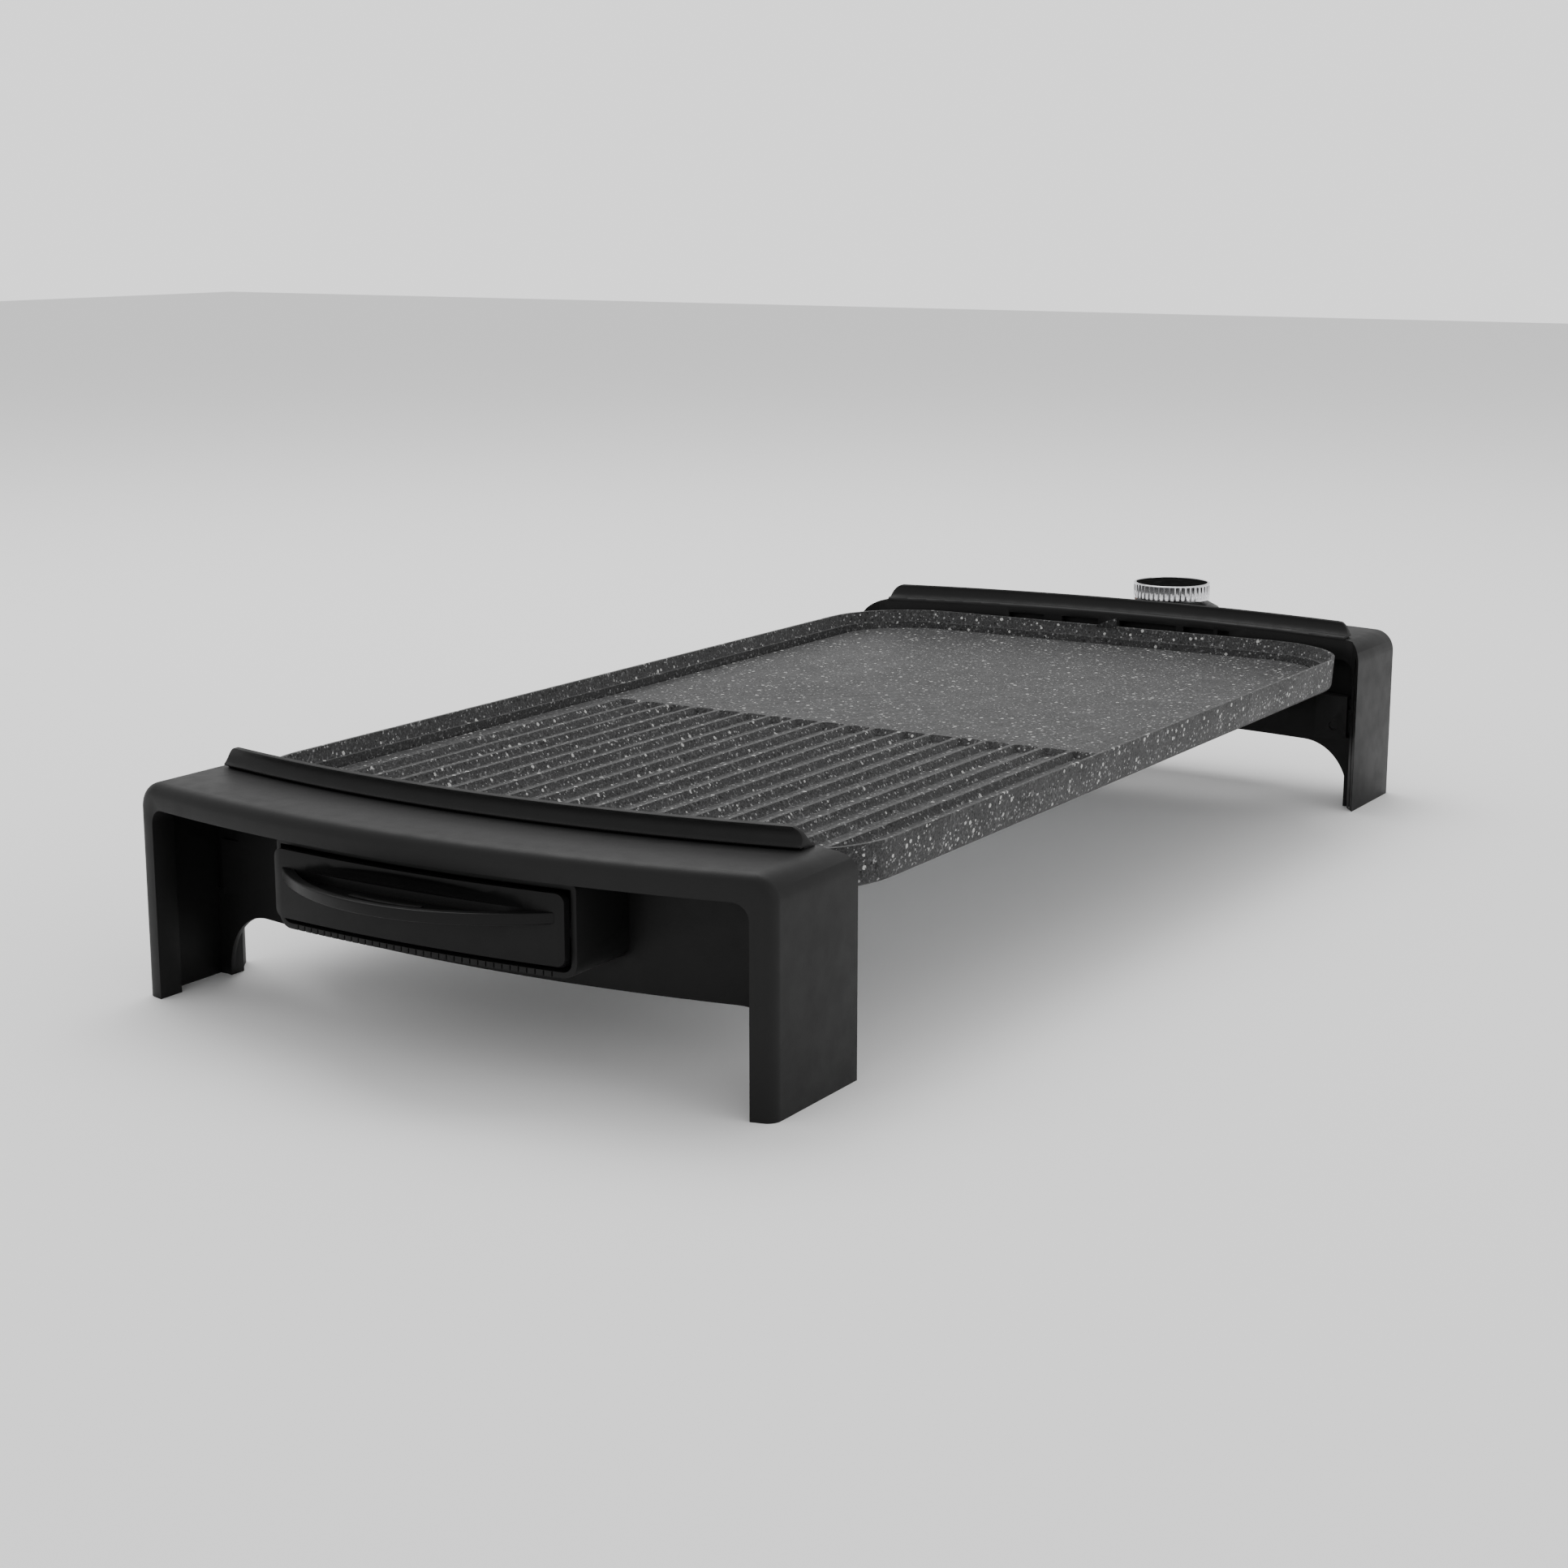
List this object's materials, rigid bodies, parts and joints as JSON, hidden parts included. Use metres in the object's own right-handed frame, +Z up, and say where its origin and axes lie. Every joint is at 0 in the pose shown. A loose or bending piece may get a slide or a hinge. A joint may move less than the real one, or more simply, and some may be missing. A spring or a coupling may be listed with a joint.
{
  "type": "electric griddle",
  "caption": "Long table griddle: speckled cast plate, half ribbed and half smooth, held between two bowed black bridges, with a pull-out drip drawer in front and a thermostat knob at the back.",
  "frame": {"origin": "centre of the bounding box in plan, at the worktop under the feet", "axes": "+Z up from the worktop, +Y along the plate from the drawer end to the thermostat end, +X to the right"},
  "size_m": [0.3, 0.696, 0.106],
  "materials": {
    "moulded_black": "fine matt moulded texture",
    "drawer_black": "satin moulded black",
    "tray_enamel": "black enamel",
    "stone_coating": "speckled non-stick coating on cast aluminium",
    "element_sheath": "annealed steel sheath",
    "sheet_steel": "plain sheet",
    "black_screw": "black oxide",
    "zinc_screw": "zinc plated",
    "ceramic": "unglazed white ceramic",
    "copper": "drawn copper",
    "nickel": "nickel plated",
    "brass": "turned brass",
    "thermostat_case": "phenolic case",
    "knob_chrome": "fluted chrome",
    "knob_gloss": "glossy black",
    "knob_core": "matt black",
    "lens_amber": "clear amber",
    "lamp_glass": "clear glass",
    "cord_rubber": "matt rubber",
    "clamp_nylon": "nylon",
    "wire_sleeve": "glass-fibre sleeve"
  },
  "bodies": {
    "frame": {"base_pan": "sheet_steel", "capillary_tube": "copper", "clamp_screws": "zinc_screw", "control_housing": "moulded_black", "control_screws": "zinc_screw", "cooking_plate": "stone_coating", "cord_bush": "cord_rubber", "cord_clamp": "clamp_nylon", "drawer_guides": "moulded_black", "drawer_housing": "moulded_black", "element_clamps": "sheet_steel", "element_terminals": "nickel", "front_bridge": "moulded_black", "front_splash_lip": "moulded_black", "front_web": "moulded_black", "heating_element": "element_sheath", "housing_screws": "zinc_screw", "indicator_lamp": "lamp_glass", "indicator_lens": "lens_amber", "knob_bezel": "drawer_black", "pan_screws": "zinc_screw", "plate_screws": "zinc_screw", "plate_spacers": "ceramic", "rear_bridge": "moulded_black", "rear_splash_lip": "moulded_black", "rear_web": "moulded_black", "sensor_bulb": "copper", "sensor_clips": "sheet_steel", "terminal_block": "ceramic", "terminal_screws": "brass", "thermostat_body": "thermostat_case", "thermostat_bracket": "sheet_steel", "thermostat_screws": "zinc_screw", "web_screws": "black_screw", "wiring": "wire_sleeve"},
    "drawer": {"drawer_fascia": "drawer_black", "drawer_handle": "drawer_black", "drip_tray": "tray_enamel", "drawer_brackets": "moulded_black"},
    "knob": {"knob_ring": "knob_chrome", "knob_cap": "knob_gloss", "knob_hub": "knob_core", "thermostat_spindle": "nickel"}
  },
  "joints": [
    {"name": "drawer_slide", "type": "slide", "parent": "frame", "child": "drawer", "axis": [0, -1, 0], "range_m": [0, 0.1]},
    {"name": "knob_turn", "type": "hinge", "parent": "frame", "child": "knob", "pos_m": [0.0189, 0.324, 0.1], "axis": [0, 0, -1], "range_deg": [0, 270]}
  ]
}
